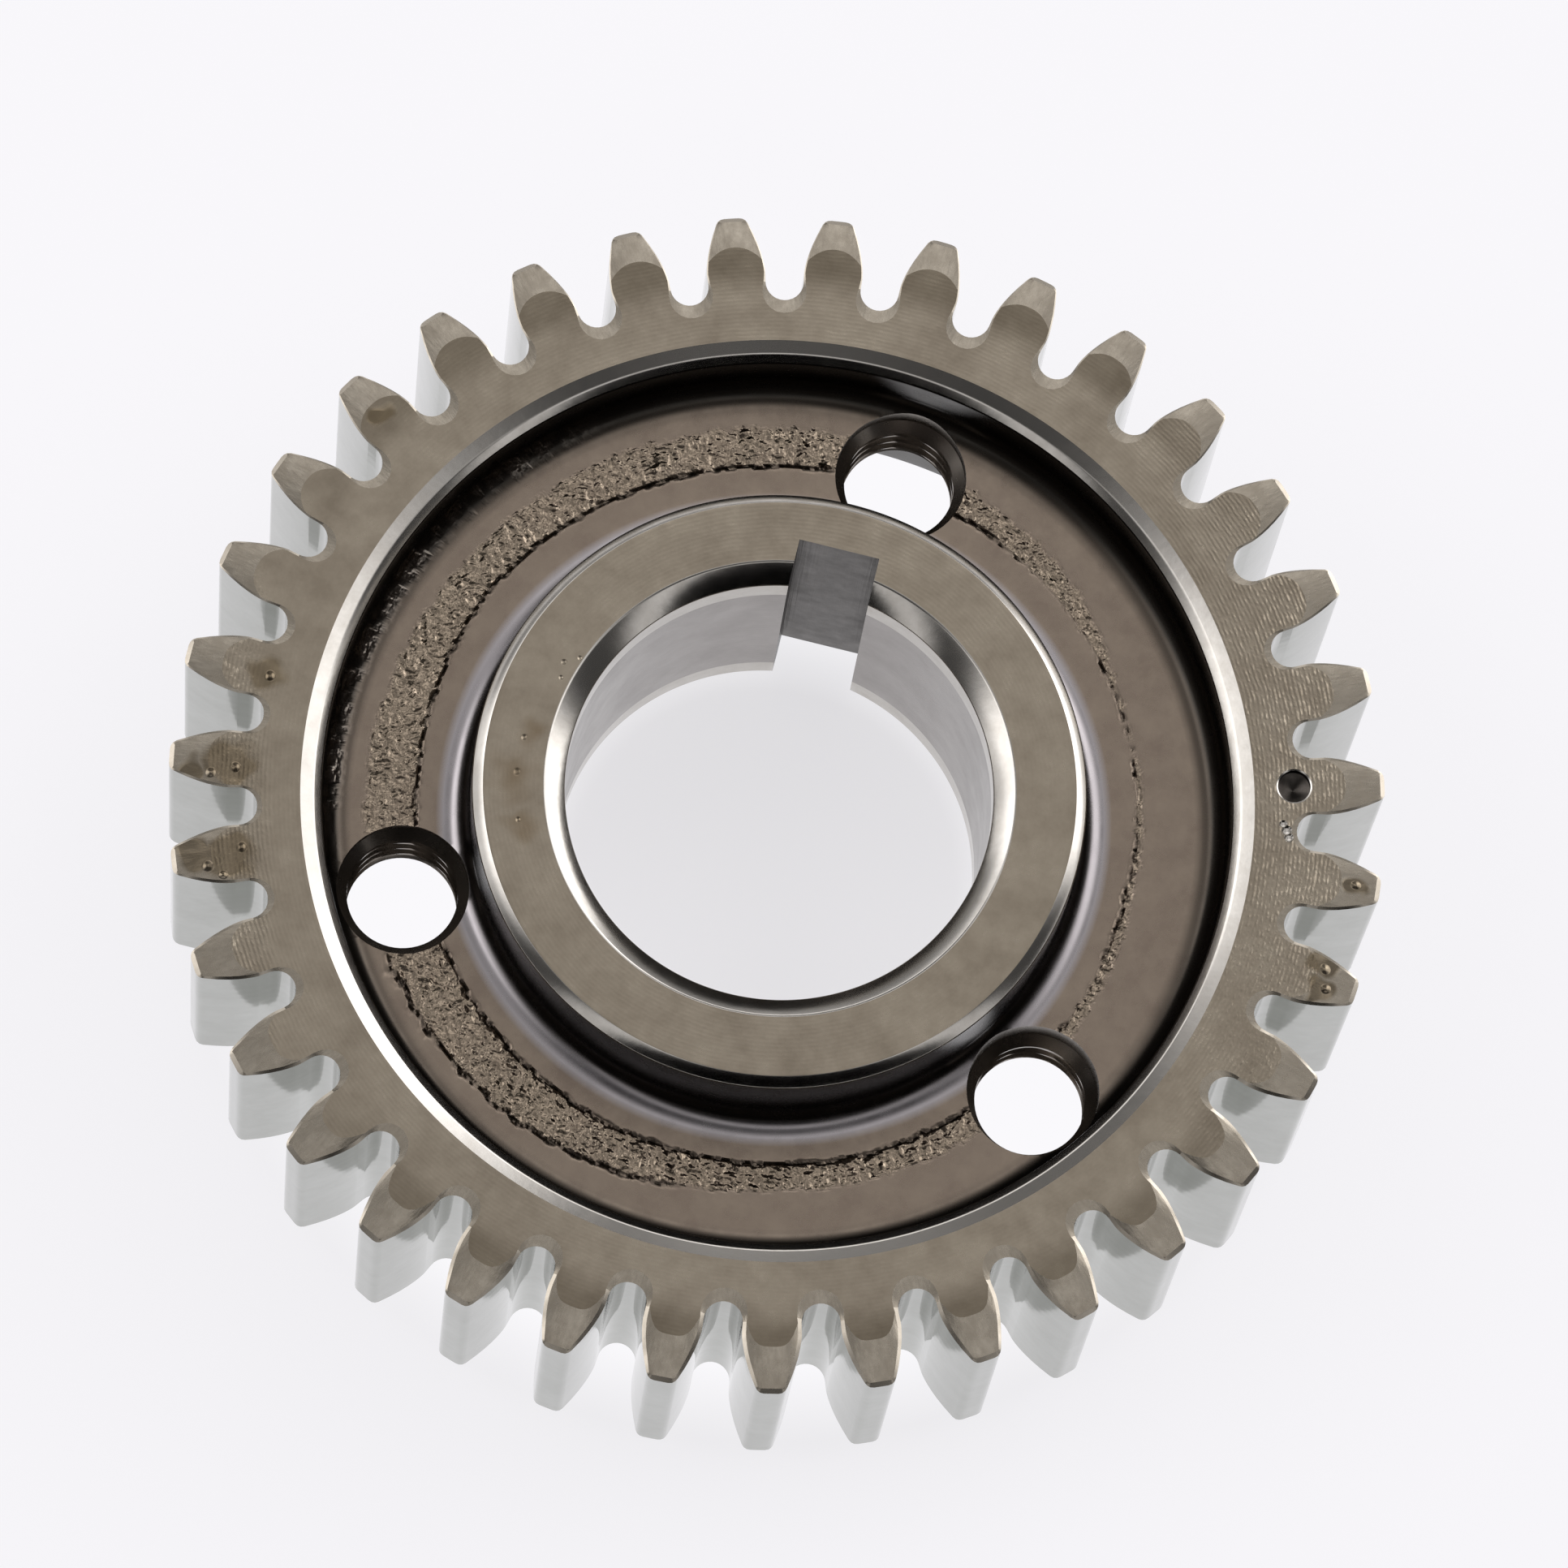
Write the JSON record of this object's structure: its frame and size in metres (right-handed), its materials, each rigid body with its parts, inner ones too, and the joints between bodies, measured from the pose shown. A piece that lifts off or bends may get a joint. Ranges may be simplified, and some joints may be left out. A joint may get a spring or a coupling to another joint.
{
  "type": "balance shaft gear",
  "caption": "One-piece steel spur gear with a keyed hub standing proud of a recessed web, tapped puller holes and a drilled timing dot, which drives an engine's balance shaft.",
  "frame": {"origin": "on the gear axis, in the plane of the hub's back face, on which the gear lies", "axes": "+Z along the gear axis, from the back face to the marked front face; +Y through the middle of the keyway"},
  "size_m": [0.0739, 0.074, 0.021],
  "materials": {
    "gear_steel": "turned and hobbed alloy steel, forged scale in the recess, lightly oiled"
  },
  "bodies": {
    "root": {"balance_gear": "gear_steel"}
  },
  "joints": []
}
